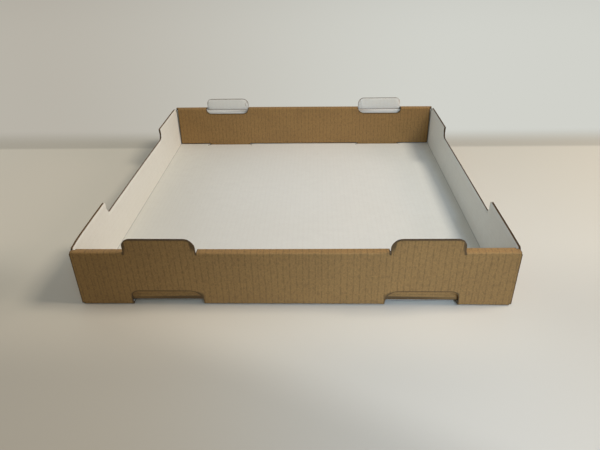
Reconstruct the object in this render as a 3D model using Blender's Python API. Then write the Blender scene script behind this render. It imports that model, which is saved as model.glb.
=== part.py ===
"""Open tray of corrugated board, folded from one die-cut blank.

The blank is drawn flat, panel by panel, in lengths of its outer liner.  Each
panel is then carried round its folds, so that the front and back walls roll
over and come down again inside, with the corner flaps of the side walls held
between their two layers.  Front is -Y, up is +Z, the underside lies at Z = 0.
"""

import math

import bmesh
import bpy
from mathutils import Vector

MM = 0.001

# Whole tray
TRAY_WIDTH = 444.0 * MM
TRAY_DEPTH = 462.0 * MM
WALL_HEIGHT = 64.4 * MM
BOARD = 3.0 * MM
LAYER_GAP = 0.8 * MM
FOLD_OUTSIDE = 1.8 * MM
FOLD_INSIDE = 0.4 * MM

# Stacking lugs that stand above the front and back walls
LUG_TOP = 80.0 * MM
LUG_NEAR = 95.4 * MM
LUG_FAR = 167.2 * MM
LUG_NEAR_RADIUS = 10.5 * MM
LUG_FAR_RADIUS = 8.0 * MM
LUG_RELIEF = 2.4 * MM
LUG_LEAN = 2.4 * MM
CUT_WIDTH = 0.4 * MM

# Foot openings in the outer layer, where the lugs of a tray below come in
FOOT_NEAR = 93.2 * MM
FOOT_FAR = 167.6 * MM
FOOT_TOP = 16.9 * MM
FOOT_NEAR_RADIUS = 14.0 * MM
FOOT_FAR_RADIUS = 7.8 * MM
SLOT_RADIUS = 1.5 * MM

# Inner layer of the rolled walls, and its lock tabs
ROLL_INSET = 0.6 * MM
END_CLEARANCE = 1.0 * MM
EAR_SHORT = 1.2 * MM
EAR_RADIUS = 1.9 * MM
INNER_CORNER_RADIUS = 2.0 * MM
LOCK_NEAR = 95.2 * MM
LOCK_FAR = 165.6 * MM
LOCK_TIP = 0.3 * MM
LOCK_RADIUS = 1.2 * MM
SLOT_CLEARANCE = 4.1 * MM
INNER_TUCK = 3.1 * MM

# Side walls, high at the corners and low between, sprung outwards
SIDE_LOW = 48.7 * MM
STEP_FROM_END = 107.0 * MM
STEP_TOP_RADIUS = 1.2 * MM
STEP_FOOT_RADIUS = 9.0 * MM
SIDE_LEAN = 1.3 * MM
SIDE_BOW = 3.6 * MM
BOW_STEPS = 18

# Corner flaps
FLAP_END = 80.0 * MM
FLAP_RADIUS = 10.0 * MM
FLAP_CLEARANCE = 0.3 * MM

FOLD_STEPS = 4
ARC_STEPS = 7
SNAP = MM / 1000.0

# Lengths that follow from the ones above
FOLD_LENGTH = FOLD_OUTSIDE * math.pi / 2.0
FOLD_REACH = BOARD + FOLD_INSIDE
FOLD_DRAW = FOLD_REACH - FOLD_OUTSIDE
BASE_HALF_X = TRAY_WIDTH / 2.0 - FOLD_OUTSIDE
BASE_HALF_Y = TRAY_DEPTH / 2.0 - FOLD_OUTSIDE
SIDE_HALF = TRAY_DEPTH / 2.0 - BOARD - LAYER_GAP - FOLD_OUTSIDE
ROLL_DEPTH = 3.0 * BOARD + 2.0 * LAYER_GAP
STRIP_FLAT = ROLL_DEPTH - 2.0 * FOLD_OUTSIDE
WALL_RISE = WALL_HEIGHT - 2.0 * FOLD_OUTSIDE
WALL_SHOULDER = WALL_HEIGHT - FOLD_OUTSIDE
FLAP_FOOT = BOARD + LAYER_GAP
FLAP_TOP = WALL_HEIGHT - BOARD - FLAP_CLEARANCE
FLAP_LENGTH = BASE_HALF_X - FLAP_END

# Places along the rolled walls, measured on the outer liner from the base
CREST = FOLD_LENGTH + WALL_RISE
STRIP_END = CREST + FOLD_LENGTH + STRIP_FLAT
EAR_END = STRIP_END - EAR_SHORT
INNER_START = STRIP_END + FOLD_LENGTH
INNER_END = INNER_START + WALL_SHOULDER - BOARD - LAYER_GAP
LOCK_END = INNER_START + WALL_SHOULDER - LOCK_TIP
LUG_END = CREST + LUG_TOP - WALL_SHOULDER


def drawn(run):
    """How far the inner face is drawn along the board, run away from a fold."""
    return FOLD_DRAW * max(0.0, 1.0 - run / FOLD_REACH)


class Route:
    """Way of the outer liner in the plane of its folds.

    Legs are lengths of flat board, with a quarter turn inwards between each
    leg and the next.  The outer liner keeps its length round a fold, and the
    board inside it is crushed, so the inner face turns round a tighter corner.
    """

    def __init__(self, start, heading, inwards, legs):
        self.pieces = []
        here = Vector(start)
        ahead = Vector(heading)
        inner = Vector(inwards)
        place = 0.0
        for number, length in enumerate(legs):
            if number:
                self.pieces.append((place, here, ahead, inner, None))
                here = here + (ahead + inner) * FOLD_OUTSIDE
                ahead, inner = inner, -ahead
                place += FOLD_LENGTH
            ends = (number > 0, number < len(legs) - 1, length)
            self.pieces.append((place, here, ahead, inner, ends))
            here = here + ahead * length
            place += length

    def at(self, place):
        """Outer and inner face of the board at a distance along the route."""
        reached = self.pieces[0]
        for piece in self.pieces[1:]:
            if place > piece[0] + SNAP:
                reached = piece
        start, here, ahead, inner, ends = reached
        run = place - start
        if ends is None:
            angle = run / FOLD_OUTSIDE
            spoke = ahead * math.sin(angle) - inner * math.cos(angle)
            centre = here + inner * FOLD_OUTSIDE
            crease = here - ahead * FOLD_DRAW + inner * FOLD_REACH
            return centre + spoke * FOLD_OUTSIDE, crease + spoke * FOLD_INSIDE
        after_fold, before_fold, length = ends
        slide = drawn(run) * after_fold - drawn(length - run) * before_fold
        outer = here + ahead * run
        return outer, outer + ahead * slide + inner * BOARD

    def stations(self):
        """Distances at which the board is divided to follow its folds."""
        cuts = []
        for start, _, _, _, ends in self.pieces:
            if ends is None:
                cuts += [start + FOLD_LENGTH * n / FOLD_STEPS for n in range(FOLD_STEPS + 1)]
        return cuts


def route_up(half, *legs):
    """Route from the base's edge, up its wall and on."""
    return Route((half, 0.0), (1.0, 0.0), (0.0, 1.0), (0.0, *legs))


ROLLED = route_up(BASE_HALF_Y, WALL_RISE, STRIP_FLAT, LOCK_END - INNER_START)
UPRIGHT = route_up(BASE_HALF_Y, LUG_END - FOLD_LENGTH)
SIDE = route_up(BASE_HALF_X, WALL_SHOULDER)
CORNER = Route((0.0, 0.0), (0.0, 1.0), (-1.0, 0.0), (0.0, FLAP_LENGTH))


class Sheet:
    """Board gathered as cells whose corners are pairs of outer and inner points."""

    def __init__(self):
        self.pairs = []
        self.known = {}
        self.cells = []

    def corner(self, outer, inner):
        """Number of a pair; panels that meet at an outer point share its pair."""
        key = tuple(round(value / SNAP) for value in outer)
        if key not in self.known:
            self.known[key] = len(self.pairs)
            self.pairs.append((outer, inner))
        return self.known[key]

    def lay(self, outline, carry, across=(), along=()):
        """Divide a flat outline at its cuts and carry every cell to its place."""
        flat = bmesh.new()
        flat.faces.new([flat.verts.new((a, s, 0.0)) for a, s in outline])
        for normal, cuts in (((0.0, 1.0, 0.0), across), ((1.0, 0.0, 0.0), along)):
            for cut in cuts:
                bmesh.ops.bisect_plane(
                    flat,
                    geom=flat.verts[:] + flat.edges[:] + flat.faces[:],
                    dist=SNAP,
                    plane_co=Vector(normal) * cut,
                    plane_no=normal,
                )
        for face in flat.faces:
            self.cells.append([self.corner(*carry(v.co.x, v.co.y)) for v in face.verts])
        flat.free()

    def body(self, name):
        """Close the two faces along every cut edge and give one solid object."""
        solid = bmesh.new()
        outer = [solid.verts.new(pair[0]) for pair in self.pairs]
        inner = [solid.verts.new(pair[1]) for pair in self.pairs]
        edges = {}
        for cell in self.cells:
            solid.faces.new([outer[i] for i in cell])
            solid.faces.new([inner[i] for i in reversed(cell)])
            for first, second in zip(cell, cell[1:] + cell[:1]):
                edges.setdefault(frozenset((first, second)), []).append((first, second))
        for uses in edges.values():
            if len(uses) == 1:
                first, second = uses[0]
                solid.faces.new([outer[second], outer[first], inner[first], inner[second]])
        bmesh.ops.recalc_face_normals(solid, faces=solid.faces[:])
        mesh = bpy.data.meshes.new(name)
        solid.to_mesh(mesh)
        solid.free()
        mesh.polygons.foreach_set("use_smooth", [True] * len(mesh.polygons))
        mesh.set_sharp_from_angle(angle=math.radians(28.0))
        result = bpy.data.objects.new(name, mesh)
        bpy.context.scene.collection.objects.link(result)
        return result


def rounded(corners):
    """Outline through corners given as (along, across, radius)."""
    points = []
    for number, (along, across, radius) in enumerate(corners):
        here = Vector((along, across, 0.0))
        if not radius:
            points.append((along, across))
            continue
        before = Vector((*corners[number - 1][:2], 0.0)) - here
        after = Vector((*corners[(number + 1) % len(corners)][:2], 0.0)) - here
        before.normalize()
        after.normalize()
        half = before.angle(after) / 2.0
        centre = here + (before + after).normalized() * (radius / math.sin(half))
        first = (here + before * (radius / math.tan(half)) - centre).normalized()
        last = (here + after * (radius / math.tan(half)) - centre).normalized()
        for step in range(ARC_STEPS + 1):
            spot = centre + first.slerp(last, step / ARC_STEPS) * radius
            points.append((spot.x, spot.y))
    return points


def mirrored(corners):
    """Corners of the right half, then the same ones of the left half."""
    return corners + [(-along, across, radius) for along, across, radius in reversed(corners)]


def bow_stations():
    """Places along a side wall, closer together where its bow sets in."""
    turns = [math.pi * (n / BOW_STEPS - 0.5) for n in range(BOW_STEPS + 1)]
    return [SIDE_HALF * math.sin(turn) for turn in turns]


def sprung(y, rise):
    """Outward shift of a side wall at a place along it and a rise above its fold."""
    turn = math.asin(round(abs(y) / SIDE_HALF, 6))
    return (SIDE_LEAN + SIDE_BOW * math.cos(turn)) * max(0.0, rise) / WALL_HEIGHT


def lay_base(sheet):
    """Base, open at four places for the foot openings and the lock tabs."""
    slot = TRAY_DEPTH / 2.0 - ROLL_DEPTH - SLOT_CLEARANCE
    front = mirrored(
        [
            (FOOT_NEAR, -BASE_HALF_Y, 0.0),
            (FOOT_NEAR, -slot, SLOT_RADIUS),
            (FOOT_FAR, -slot, SLOT_RADIUS),
            (FOOT_FAR, -BASE_HALF_Y, 0.0),
            (BASE_HALF_X, -BASE_HALF_Y, 0.0),
        ]
    )
    right_front = front[:5]
    left_front = front[5:]
    side = bow_stations()
    right = [(BASE_HALF_X, y, 0.0) for y in side]
    left = [(-BASE_HALF_X, y, 0.0) for y in reversed(side)]
    right_back = [(x, -y, radius) for x, y, radius in reversed(right_front)]
    left_back = [(x, -y, radius) for x, y, radius in reversed(left_front)]
    corners = right_front + right + right_back + left_back + left + left_front

    def carry(x, y):
        inner_x = x - math.copysign(drawn(BASE_HALF_X - abs(x)), x)
        inner_y = y - math.copysign(drawn(BASE_HALF_Y - abs(y)), y)
        return Vector((x, y, 0.0)), Vector((inner_x, inner_y, BOARD))

    sheet.lay(rounded(corners), carry)


def lay_rolled_wall(sheet, way):
    """Front (way -1) or back (way 1) wall with its roll-over and lugs."""

    def carrier(route, lean=0.0, tuck=0.0):
        def carry(x, place):
            outer, inner = route.at(place)
            push = lean * max(0.0, place - CREST) / (LUG_END - CREST)
            push -= tuck * max(0.0, place - INNER_START) / (INNER_END - INNER_START)
            return (
                Vector((x, way * (outer.x + push), outer.y)),
                Vector((x, way * (inner.x + push), inner.y)),
            )

        return carry

    foot = FOLD_LENGTH + FOOT_TOP - FOLD_OUTSIDE
    cut_near = LUG_NEAR - CUT_WIDTH
    cut_far = LUG_FAR + CUT_WIDTH
    outer_layer = mirrored(
        [
            (FOOT_NEAR, 0.0, 0.0),
            (FOOT_NEAR, foot, FOOT_NEAR_RADIUS),
            (FOOT_FAR, foot, FOOT_FAR_RADIUS),
            (FOOT_FAR, 0.0, 0.0),
            (BASE_HALF_X, 0.0, 0.0),
            (BASE_HALF_X, FOLD_LENGTH, 0.0),
            (TRAY_WIDTH / 2.0, FOLD_LENGTH, 0.0),
            (TRAY_WIDTH / 2.0, CREST, 0.0),
            (TRAY_WIDTH / 2.0 - ROLL_INSET, CREST, 0.0),
            (cut_far, CREST, 0.0),
            (LUG_FAR, CREST, 0.0),
            (LUG_NEAR, CREST, 0.0),
            (cut_near, CREST, 0.0),
        ]
    )
    sheet.lay(rounded(outer_layer), carrier(ROLLED), across=ROLLED.stations())

    cut_end = LUG_END + LUG_RELIEF
    inner_half = TRAY_WIDTH / 2.0 - BOARD - END_CLEARANCE
    roll_over = mirrored(
        [
            (cut_near, CREST, 0.0),
            (cut_near, cut_end, LUG_NEAR_RADIUS),
            (cut_far, cut_end, LUG_FAR_RADIUS),
            (cut_far, CREST, 0.0),
            (TRAY_WIDTH / 2.0 - ROLL_INSET, CREST, 0.0),
            (TRAY_WIDTH / 2.0 - ROLL_INSET, EAR_END, EAR_RADIUS),
            (inner_half, EAR_END, 0.0),
            (inner_half, INNER_END, INNER_CORNER_RADIUS),
            (LOCK_FAR, INNER_END, 0.0),
            (LOCK_FAR, LOCK_END, LOCK_RADIUS),
            (LOCK_NEAR, LOCK_END, LOCK_RADIUS),
            (LOCK_NEAR, INNER_END, 0.0),
        ]
    )
    rolled = carrier(ROLLED, tuck=INNER_TUCK)
    sheet.lay(rounded(roll_over), rolled, across=ROLLED.stations())

    for hand in (-1.0, 1.0):
        lug = [
            (hand * LUG_NEAR, CREST, 0.0),
            (hand * LUG_FAR, CREST, 0.0),
            (hand * LUG_FAR, LUG_END, LUG_FAR_RADIUS),
            (hand * LUG_NEAR, LUG_END, LUG_NEAR_RADIUS),
        ]
        sheet.lay(rounded(lug), carrier(UPRIGHT, LUG_LEAN))


def lay_side_wall(sheet, way):
    """Left (way -1) or right (way 1) wall with the two flaps at its ends."""

    def carry_wall(y, place):
        outer, inner = SIDE.at(place)
        spread = sprung(y, place - FOLD_LENGTH)
        inner_y = y - math.copysign(drawn(SIDE_HALF - abs(y)), y)
        return (
            Vector((way * (outer.x + spread), y, outer.y)),
            Vector((way * (inner.x + spread), inner_y, inner.y)),
        )

    low = FOLD_LENGTH + SIDE_LOW - FOLD_OUTSIDE
    high = FOLD_LENGTH + WALL_HEIGHT - FOLD_OUTSIDE
    flap_top = FOLD_LENGTH + FLAP_TOP - FOLD_OUTSIDE
    flap_foot = FOLD_LENGTH + FLAP_FOOT - FOLD_OUTSIDE
    step = TRAY_DEPTH / 2.0 - STEP_FROM_END
    ear = TRAY_DEPTH / 2.0 - FOLD_OUTSIDE - STRIP_FLAT + EAR_SHORT
    shoulder = ear - FLAP_CLEARANCE
    wall = mirrored(
        [
            (step, low, STEP_FOOT_RADIUS),
            (step, high, STEP_TOP_RADIUS),
            (shoulder - (high - flap_top), high, 0.0),
            (shoulder, flap_top, 0.0),
            (SIDE_HALF, flap_top, 0.0),
            (SIDE_HALF, flap_foot, 0.0),
            (SIDE_HALF, 0.0, 0.0),
        ]
    )
    sheet.lay(rounded(wall), carry_wall, across=SIDE.stations(), along=bow_stations()[1:-1])

    flap = [
        (0.0, FLAP_FOOT, 0.0),
        (FOLD_LENGTH + FLAP_LENGTH, FLAP_FOOT, FLAP_RADIUS),
        (FOLD_LENGTH + FLAP_LENGTH, FLAP_TOP, FLAP_RADIUS),
        (0.0, FLAP_TOP, 0.0),
    ]
    for end in (-1.0, 1.0):

        def carry_flap(place, height):
            points = []
            for point in CORNER.at(place):
                spread = sprung(SIDE_HALF, height - FOLD_OUTSIDE)
                x = way * (TRAY_WIDTH / 2.0 + point.x + spread)
                points.append(Vector((x, end * (SIDE_HALF + point.y), height)))
            return points

        sheet.lay(rounded(flap), carry_flap, along=CORNER.stations())


def kraft_board():
    material = bpy.data.materials.new("kraft_board")
    material.use_nodes = True
    shader = material.node_tree.nodes["Principled BSDF"]
    shader.inputs["Base Color"].default_value = (0.42, 0.27, 0.13, 1.0)
    shader.inputs["Roughness"].default_value = 0.85
    return material


def main():
    for old in list(bpy.data.objects):
        bpy.data.objects.remove(old, do_unlink=True)
    sheet = Sheet()
    lay_base(sheet)
    for way in (-1.0, 1.0):
        lay_rolled_wall(sheet, way)
        lay_side_wall(sheet, way)
    tray = sheet.body("tray")
    tray.data.materials.append(kraft_board())


main()
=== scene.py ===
"""Open stacking tray of corrugated board, dressed with its two liners and the fluted paper between.

The blank is drawn flat, in lengths of the outer liner, and each panel is
carried round its folds. Front is -Y, up is +Z, the underside lies at Z = 0.
"""

import math

import bmesh
import bpy
import numpy as np
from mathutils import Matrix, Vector


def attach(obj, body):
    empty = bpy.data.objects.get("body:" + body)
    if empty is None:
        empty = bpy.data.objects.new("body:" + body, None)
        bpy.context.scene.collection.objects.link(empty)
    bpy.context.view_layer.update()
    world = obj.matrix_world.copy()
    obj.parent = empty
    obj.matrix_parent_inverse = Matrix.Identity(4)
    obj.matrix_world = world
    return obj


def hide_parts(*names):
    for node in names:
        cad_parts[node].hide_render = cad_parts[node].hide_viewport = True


bl_info = {
    "name": "Corrugated Stacking Tray",
    "version": (1, 0, 0),
    "blender": (4, 5, 0),
    "location": "3D View > Sidebar > Tray",
    "description": "Builds a folded tray of corrugated board with its liners and flutes",
    "category": "Object",
}

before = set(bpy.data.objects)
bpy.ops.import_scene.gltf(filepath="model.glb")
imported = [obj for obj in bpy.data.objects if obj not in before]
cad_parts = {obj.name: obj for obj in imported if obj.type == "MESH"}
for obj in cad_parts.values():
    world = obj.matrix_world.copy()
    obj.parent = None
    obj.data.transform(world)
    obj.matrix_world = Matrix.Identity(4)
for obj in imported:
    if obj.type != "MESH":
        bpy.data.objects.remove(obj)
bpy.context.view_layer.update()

MM = 0.001

# Folded tray, in millimetres
TRAY_WIDTH = 444.0
TRAY_DEPTH = 462.0
WALL_HEIGHT = 64.4
BOARD = 3.0
LAYER_GAP = 0.8
FOLD_OUTSIDE = 1.8
FOLD_INSIDE = 0.4

# Stacking lugs, and the cut that frees them from the rolled strip
LUG_TOP = 80.0
LUG_NEAR = 95.4
LUG_FAR = 167.2
LUG_NEAR_RADIUS = 10.5
LUG_FAR_RADIUS = 8.0
LUG_RELIEF = 2.4
CUT_WIDTH = 0.4

# Foot openings in the outer layer, which go on into the base as slots
FOOT_NEAR = 93.2
FOOT_FAR = 167.6
FOOT_TOP = 16.9
FOOT_NEAR_RADIUS = 14.0
FOOT_FAR_RADIUS = 7.8
SLOT_RADIUS = 1.5
FRONT_SLOT_CLEARANCE = 1.4
BACK_SLOT_CLEARANCE = 4.1

# Rolled strip with its ears, inner layer and lock tabs
ROLL_INSET = 0.6
END_CLEARANCE = 1.0
EAR_SHORT = 1.2
EAR_RADIUS = 1.9
INNER_CORNER_RADIUS = 2.0
LOCK_NEAR = 95.2
LOCK_FAR = 165.6
LOCK_TIP = 0.3
LOCK_RADIUS = 1.2
FRONT_TUCK = -0.7
BACK_TUCK = 3.1

# Side walls, high at the corners and low between
SIDE_LOW = 48.7
STEP_FROM_END = 107.0
STEP_TOP_RADIUS = 1.2
STEP_FOOT_RADIUS = 9.0

# Corner flaps, held between the layers
FLAP_END = 80.0
FLAP_RADIUS = 10.0
FLAP_CLEARANCE = 0.3

# Lengths and places that follow from the sizes above
HALF_WIDTH = TRAY_WIDTH / 2.0
HALF_DEPTH = TRAY_DEPTH / 2.0
FOLD_LENGTH = FOLD_OUTSIDE * math.pi / 2.0
FOLD_REACH = BOARD + FOLD_INSIDE
FOLD_DRAW = FOLD_REACH - FOLD_OUTSIDE
BASE_HALF_X = HALF_WIDTH - FOLD_OUTSIDE
BASE_HALF_Y = HALF_DEPTH - FOLD_OUTSIDE
SIDE_HALF = HALF_DEPTH - BOARD - LAYER_GAP - FOLD_OUTSIDE
ROLL_DEPTH = 3.0 * BOARD + 2.0 * LAYER_GAP
STRIP_FLAT = ROLL_DEPTH - 2.0 * FOLD_OUTSIDE
WALL_RISE = WALL_HEIGHT - 2.0 * FOLD_OUTSIDE
WALL_SHOULDER = WALL_HEIGHT - FOLD_OUTSIDE
FLAP_FOOT = BOARD + LAYER_GAP
FLAP_TOP = WALL_HEIGHT - BOARD - FLAP_CLEARANCE
FLAP_LENGTH = BASE_HALF_X - FLAP_END
CREST = FOLD_LENGTH + WALL_RISE
STRIP_END = CREST + FOLD_LENGTH + STRIP_FLAT
EAR_END = STRIP_END - EAR_SHORT
INNER_START = STRIP_END + FOLD_LENGTH
INNER_END = INNER_START + WALL_SHOULDER - BOARD - LAYER_GAP
LOCK_END = INNER_START + WALL_SHOULDER - LOCK_TIP
LUG_END = CREST + LUG_TOP - WALL_SHOULDER
CUT_NEAR = LUG_NEAR - CUT_WIDTH
CUT_FAR = LUG_FAR + CUT_WIDTH
CUT_END = LUG_END + LUG_RELIEF
STEP_PLACE = HALF_DEPTH - STEP_FROM_END
STRIP_CREASE = ROLL_DEPTH - LAYER_GAP - FOLD_OUTSIDE

# Parts that a fold, a rounded corner and the bow of a side wall are divided into
FOLD_STEPS = 5
ARC_STEPS = 10
BOW_STEPS = 24

# Distances in from an edge or a fold at which the board gets extra lines
RIM_LINES = (0.35, 0.8, 1.5, 2.6)
NEAREST_LINE = 0.1
STEP_CLEARANCE = 4.0

# Lines along each flute, in the liners and in the fluting
LINER_LINES = 4
FLUTING_LINES = 8

# Distances, in millimetres, below which places count as one
NO_LENGTH = 0.000001
PLACE_SNAP = 0.001
CUT_SNAP = 0.004
WELD_SNAP = 0.008
JOIN_SNAP = 0.01

# Layers of the board, as shares of its thickness from the outer face
OUTER_LINER = (0.0, 0.1)
INNER_LINER = (0.9, 1.0)
OUTER_SAG = 0.02
INNER_SAG = -0.006
FLUTE_MIDDLE = 0.5
FLUTE_SWING = 0.35
FLUTE_PAPER = 0.09

# Share of the crush along the flutes that a cut on a flute's tip gets
TIP_CRUSH = 0.55

# Distances from the middle at which the bow of the end walls and the lift of the back set in
BOW_START, BOW_FULL = 205.0, 217.0
LIFT_START, LIFT_FULL = 100.0, 210.0

# Bends in the liners sharper than this, in degrees, are shaded as edges
SHARP_BEND = 35.0

# Shades of the brown liner, as shares of its colour, from its darkest, used for the rim of cut paper
# and painted shade at cut edges, to its lightest marks
KRAFT_SHADES = (0.25, 0.5, 0.95, 1.05, 1.5)

# Marks of the papers: how sharp and strong they are, and their relief in metres
STREAK_WANDER = 1.4
BROAD_POWER = 3.0
FINE_POWER = 20.0
STREAK_LEAST = 0.08
HOLLOW_STREAK = 0.2
KRAFT_FIBRE = 0.3
KRAFT_RIDGE = 0.06
KRAFT_RELIEF = 0.00008
WHITE_POWER = 4.0
WHITE_CLOUD = 0.5
WHITE_FIBRE = 0.16
WHITE_RIDGE = 0.02
WHITE_EDGE = 0.5
WHITE_RELIEF = 0.00005
FLUTING_ROUGHNESS = 0.9

# Floor, with the places in metres where each change of its tone, its painted light and its painted
# shade, starts and ends
FLOOR_DROP = 0.0002
FLOOR_ROUGHNESS = 0.55
FLOOR_GRAINS = 3.0
FLOOR_CLOUD = 0.03
FLOOR_TURN = (-0.157, 0.093)
FRONT_FADE = (0.094, 0.252)
LEFT_FADE = (0.066, 0.26)
LEFT_SLANT = 1.93
LEFT_EDGE = (-0.716, -0.576)
LIGHT_DEPTH = ((0.17, 0.24), (0.25, 0.34))
LIGHT_WIDTH = ((-0.38, -0.27), (0.12, 0.3))
HORIZON_FADE = (1.0, 3.0)
HORIZON_SHADE = 0.06

# The same, measured from the tone line behind the tray: where the painted shade along it rises and
# falls, and where the glow beyond it rises
SHADE_BAND = ((-0.006, 0.006), (0.01, 0.1))
GLOW_RISE = (0.008, 0.09)

# The far glow's painted light fans out from this distance in front, and turns between these slopes
# from darker on the left to lighter on the right
FAR_CENTRE = 0.65
FAR_TURN = (-0.55, 0.3)

# Rays that see the floor's glow, with its painted light, and the sky's pale backdrop
BACKDROP_RAYS = ("Is Camera Ray", "Is Glossy Ray", "Is Transmission Ray")

# Plain colours, and the warm one of the painted pool of light in front of the tray
BLACK = (0.0, 0.0, 0.0, 1.0)
WHITE = (1.0, 1.0, 1.0, 1.0)
LIGHT_COLOUR = (1.0, 0.93, 0.72, 1.0)

# Lamps: sizes and places in metres, spreads in degrees
KEY_SIZE = 0.45
KEY_COLOUR = (1.0, 0.903, 0.821)
KEY_PLACE = (1.0, -0.15, 1.35)
SIDE_SIZE = 0.5
SIDE_COLOUR = (1.0, 0.752, 0.689)
SIDE_PLACE = (1.5, -0.2, 0.7)
LEFT_SIZE = 0.6
LEFT_COLOUR = (0.783, 0.834, 1.0)
LEFT_PLACE = (-1.3, 0.0, 0.4)
LOW_SPREAD = 29.0
LOW_COLOUR = (0.593, 0.731, 1.0)
LOW_PLACE = (0.3, -1.1, 0.3)
LOW_AIM = (0.12, -0.25, 0.03)
FRONT_SPREAD = 40.0
FRONT_COLOUR = (0.55, 0.704, 1.0)
FRONT_PLACE = (0.45, -1.1, 0.9)
FRONT_AIM = (0.2, -0.3, 0.0)
SPOT_SOFTNESS = 0.12

# Camera: sensor in millimetres, place in metres, turn in degrees
SENSOR_WIDTH = 36.0
CAMERA_PLACE = (0.02387, -0.65475, 0.34165)
CAMERA_TURN = (59.874, 0.993, 1.584)


def drawn(run):
    """How far the inner face is drawn along the board, run away from a fold."""
    return FOLD_DRAW * max(0.0, 1.0 - run / FOLD_REACH)


class Route:
    """Way of the board in the plane of its folds: flat legs with a quarter turn between."""

    def __init__(self, start, heading, inwards, legs):
        self.pieces = []
        here = Vector(start)
        ahead = Vector(heading)
        inner = Vector(inwards)
        place = 0.0
        for number, length in enumerate(legs):
            if number:
                self.pieces.append((place, here, ahead, inner, None))
                here = here + (ahead + inner) * FOLD_OUTSIDE
                ahead, inner = inner, -ahead
                place += FOLD_LENGTH
            ends = (number > 0, number < len(legs) - 1, length)
            self.pieces.append((place, here, ahead, inner, ends))
            here = here + ahead * length
            place += length

    def at(self, place, share):
        """Point at a distance along the route and a share of the thickness."""
        reached = self.pieces[0]
        for piece in self.pieces[1:]:
            if place > piece[0] + PLACE_SNAP:
                reached = piece
        start, here, ahead, inner, ends = reached
        run = place - start
        if ends is None:
            angle = run / FOLD_OUTSIDE
            spoke = ahead * math.sin(angle) - inner * math.cos(angle)
            outside = here + inner * FOLD_OUTSIDE + spoke * FOLD_OUTSIDE
            crease = here - ahead * FOLD_DRAW + inner * FOLD_REACH
            inside = crease + spoke * FOLD_INSIDE
        else:
            after_fold, before_fold, length = ends
            slide = drawn(run) * after_fold - drawn(length - run) * before_fold
            outside = here + ahead * run
            inside = outside + ahead * slide + inner * BOARD
        return outside.lerp(inside, share)

    def stations(self):
        """Distances at which the board is divided to follow its folds."""
        cuts = []
        for start, _, _, _, ends in self.pieces:
            if ends is None:
                cuts += [start + FOLD_LENGTH * n / FOLD_STEPS for n in range(FOLD_STEPS + 1)]
                cuts += [start + FOLD_LENGTH + line for line in RIM_LINES]
                cuts += [start - line for line in RIM_LINES]
        return [cut for cut in cuts if cut > NEAREST_LINE]


def route_up(half, *legs):
    """Way of a wall that starts at a fold of the base and goes up."""
    return Route((half, 0.0), (1.0, 0.0), (0.0, 1.0), (0.0, *legs))


ROLLED = route_up(BASE_HALF_Y, WALL_RISE, STRIP_FLAT, LOCK_END - INNER_START)
UPRIGHT = route_up(BASE_HALF_Y, LUG_END - FOLD_LENGTH)
SIDE = route_up(BASE_HALF_X, WALL_SHOULDER)
CORNER = Route((0.0, 0.0), (0.0, 1.0), (-1.0, 0.0), (0.0, FLAP_LENGTH))


def rounded(corners):
    """Outline through corners given as (along, across, radius)."""
    points = []
    for number, (along, across, radius) in enumerate(corners):
        here = Vector((along, across, 0.0))
        if not radius:
            points.append((along, across))
            continue
        before = Vector((*corners[number - 1][:2], 0.0)) - here
        after = Vector((*corners[(number + 1) % len(corners)][:2], 0.0)) - here
        before.normalize()
        after.normalize()
        half = before.angle(after) / 2.0
        centre = here + (before + after).normalized() * (radius / math.sin(half))
        first = (here + before * (radius / math.tan(half)) - centre).normalized()
        last = (here + after * (radius / math.tan(half)) - centre).normalized()
        for step in range(ARC_STEPS + 1):
            spot = centre + first.slerp(last, step / ARC_STEPS) * radius
            points.append((spot.x, spot.y))
    return points


def mirrored(corners):
    """The corners, followed by their mirror images in reverse order."""
    return corners + [(-along, across, radius) for along, across, radius in reversed(corners)]


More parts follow.
